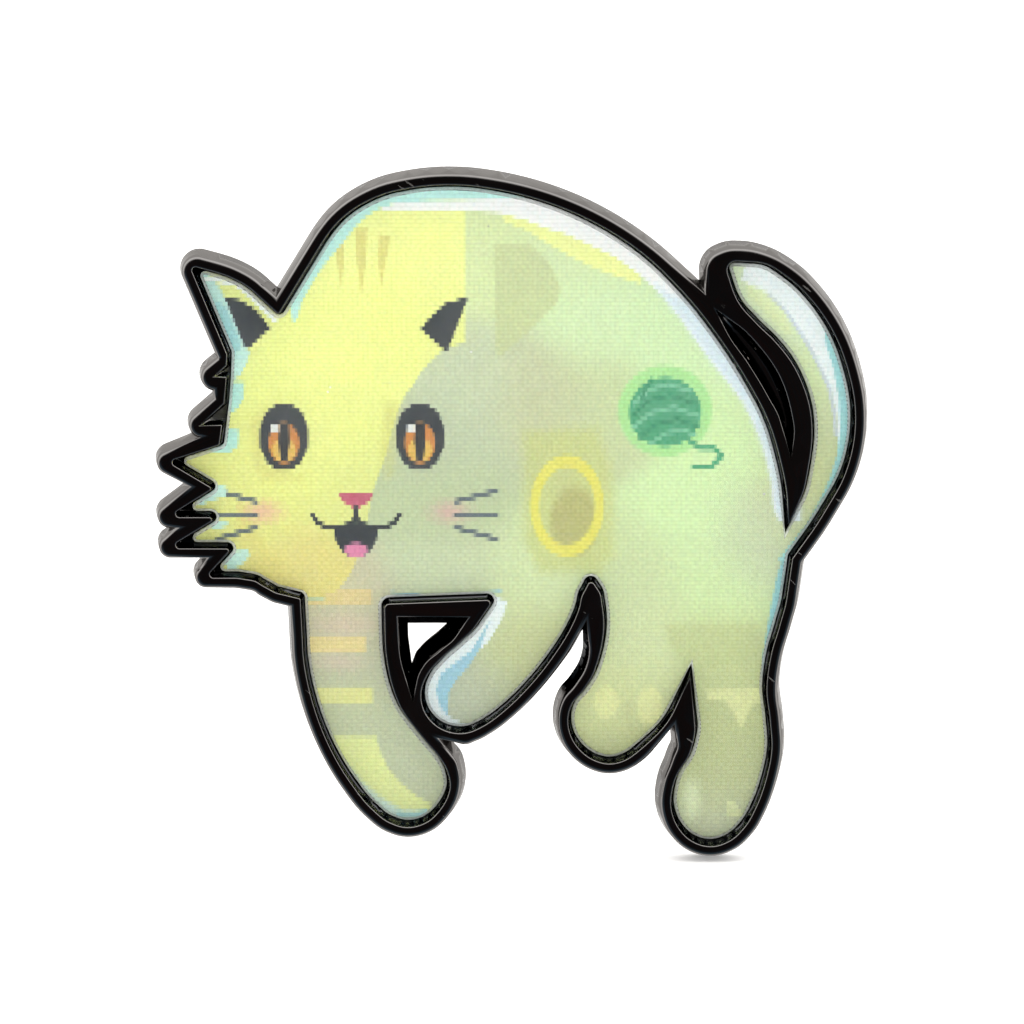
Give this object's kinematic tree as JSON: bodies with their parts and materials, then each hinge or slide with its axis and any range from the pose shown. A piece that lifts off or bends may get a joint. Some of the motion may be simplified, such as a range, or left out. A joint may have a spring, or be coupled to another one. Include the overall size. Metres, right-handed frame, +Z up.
{
  "type": "lapel pin",
  "caption": "Cat-shaped die-cast lapel pin with a glued lenticular print, rear posts and squeeze-to-release butterfly clutches.",
  "frame": {"origin": "back face of the pin, midway between the two posts, where the cloth lies", "axes": "+X to the right of the decorated face, +Z up, +Y out of the back along the posts; the face looks along -Y"},
  "size_m": [0.0442, 0.011, 0.0436],
  "materials": {
    "black_nickel": "polished black nickel plating over zinc die casting",
    "adhesive": "milky transfer adhesive",
    "printed_ink": "offset-printed ink with fine screen dots",
    "clear_lens": "clear ribbed lens sheet",
    "post_steel": "bright nickel-plated steel",
    "solder": "dull grey solder",
    "clutch_brass": "bright lacquered brass",
    "spring_steel": "bright spring steel"
  },
  "bodies": {
    "pin": {"pin_body": "black_nickel", "adhesive_film": "adhesive", "printed_artwork": "printed_ink", "lens_sheet": "clear_lens", "left_post": "post_steel", "right_post": "post_steel", "left_post_solder": "solder", "right_post_solder": "solder"},
    "left_clutch": {"left_clutch_plate": "clutch_brass", "left_clutch_cap": "clutch_brass", "left_clutch_spring": "spring_steel"},
    "left_wing_outer": {"left_clutch_wing_outer": "clutch_brass"},
    "left_wing_inner": {"left_clutch_wing_inner": "clutch_brass"},
    "right_clutch": {"right_clutch_plate": "clutch_brass", "right_clutch_cap": "clutch_brass", "right_clutch_spring": "spring_steel"},
    "right_wing_outer": {"right_clutch_wing_outer": "clutch_brass"},
    "right_wing_inner": {"right_clutch_wing_inner": "clutch_brass"}
  },
  "joints": [
    {"name": "left_clutch_slide", "type": "slide", "parent": "pin", "child": "left_clutch", "axis": [0, 1, 0], "range_m": [-0.0018, 0.014]},
    {"name": "left_squeeze_outer", "type": "hinge", "parent": "left_clutch", "child": "left_wing_outer", "pos_m": [-0.01345, 0.00435, 0], "axis": [0, 0, -1], "range_deg": [0, 9], "stiffness_Nm_per_rad": 0.001, "springref_deg": -5.73},
    {"name": "left_squeeze_inner", "type": "hinge", "parent": "left_clutch", "child": "left_wing_inner", "pos_m": [-0.00855, 0.00435, 0], "axis": [0, 0, 1], "range_deg": [0, 9], "stiffness_Nm_per_rad": 0.001, "springref_deg": -5.73},
    {"name": "right_clutch_slide", "type": "slide", "parent": "pin", "child": "right_clutch", "axis": [0, 1, 0], "range_m": [-0.0018, 0.014]},
    {"name": "right_squeeze_outer", "type": "hinge", "parent": "right_clutch", "child": "right_wing_outer", "pos_m": [0.01345, 0.00435, 0], "axis": [0, 0, 1], "range_deg": [0, 9], "stiffness_Nm_per_rad": 0.001, "springref_deg": -5.73},
    {"name": "right_squeeze_inner", "type": "hinge", "parent": "right_clutch", "child": "right_wing_inner", "pos_m": [0.00855, 0.00435, 0], "axis": [0, 0, -1], "range_deg": [0, 9], "stiffness_Nm_per_rad": 0.001, "springref_deg": -5.73}
  ],
  "couplings": [
    {"joint": "left_squeeze_inner", "follows": "left_squeeze_outer", "ratio": 1},
    {"joint": "right_squeeze_inner", "follows": "right_squeeze_outer", "ratio": 1}
  ]
}
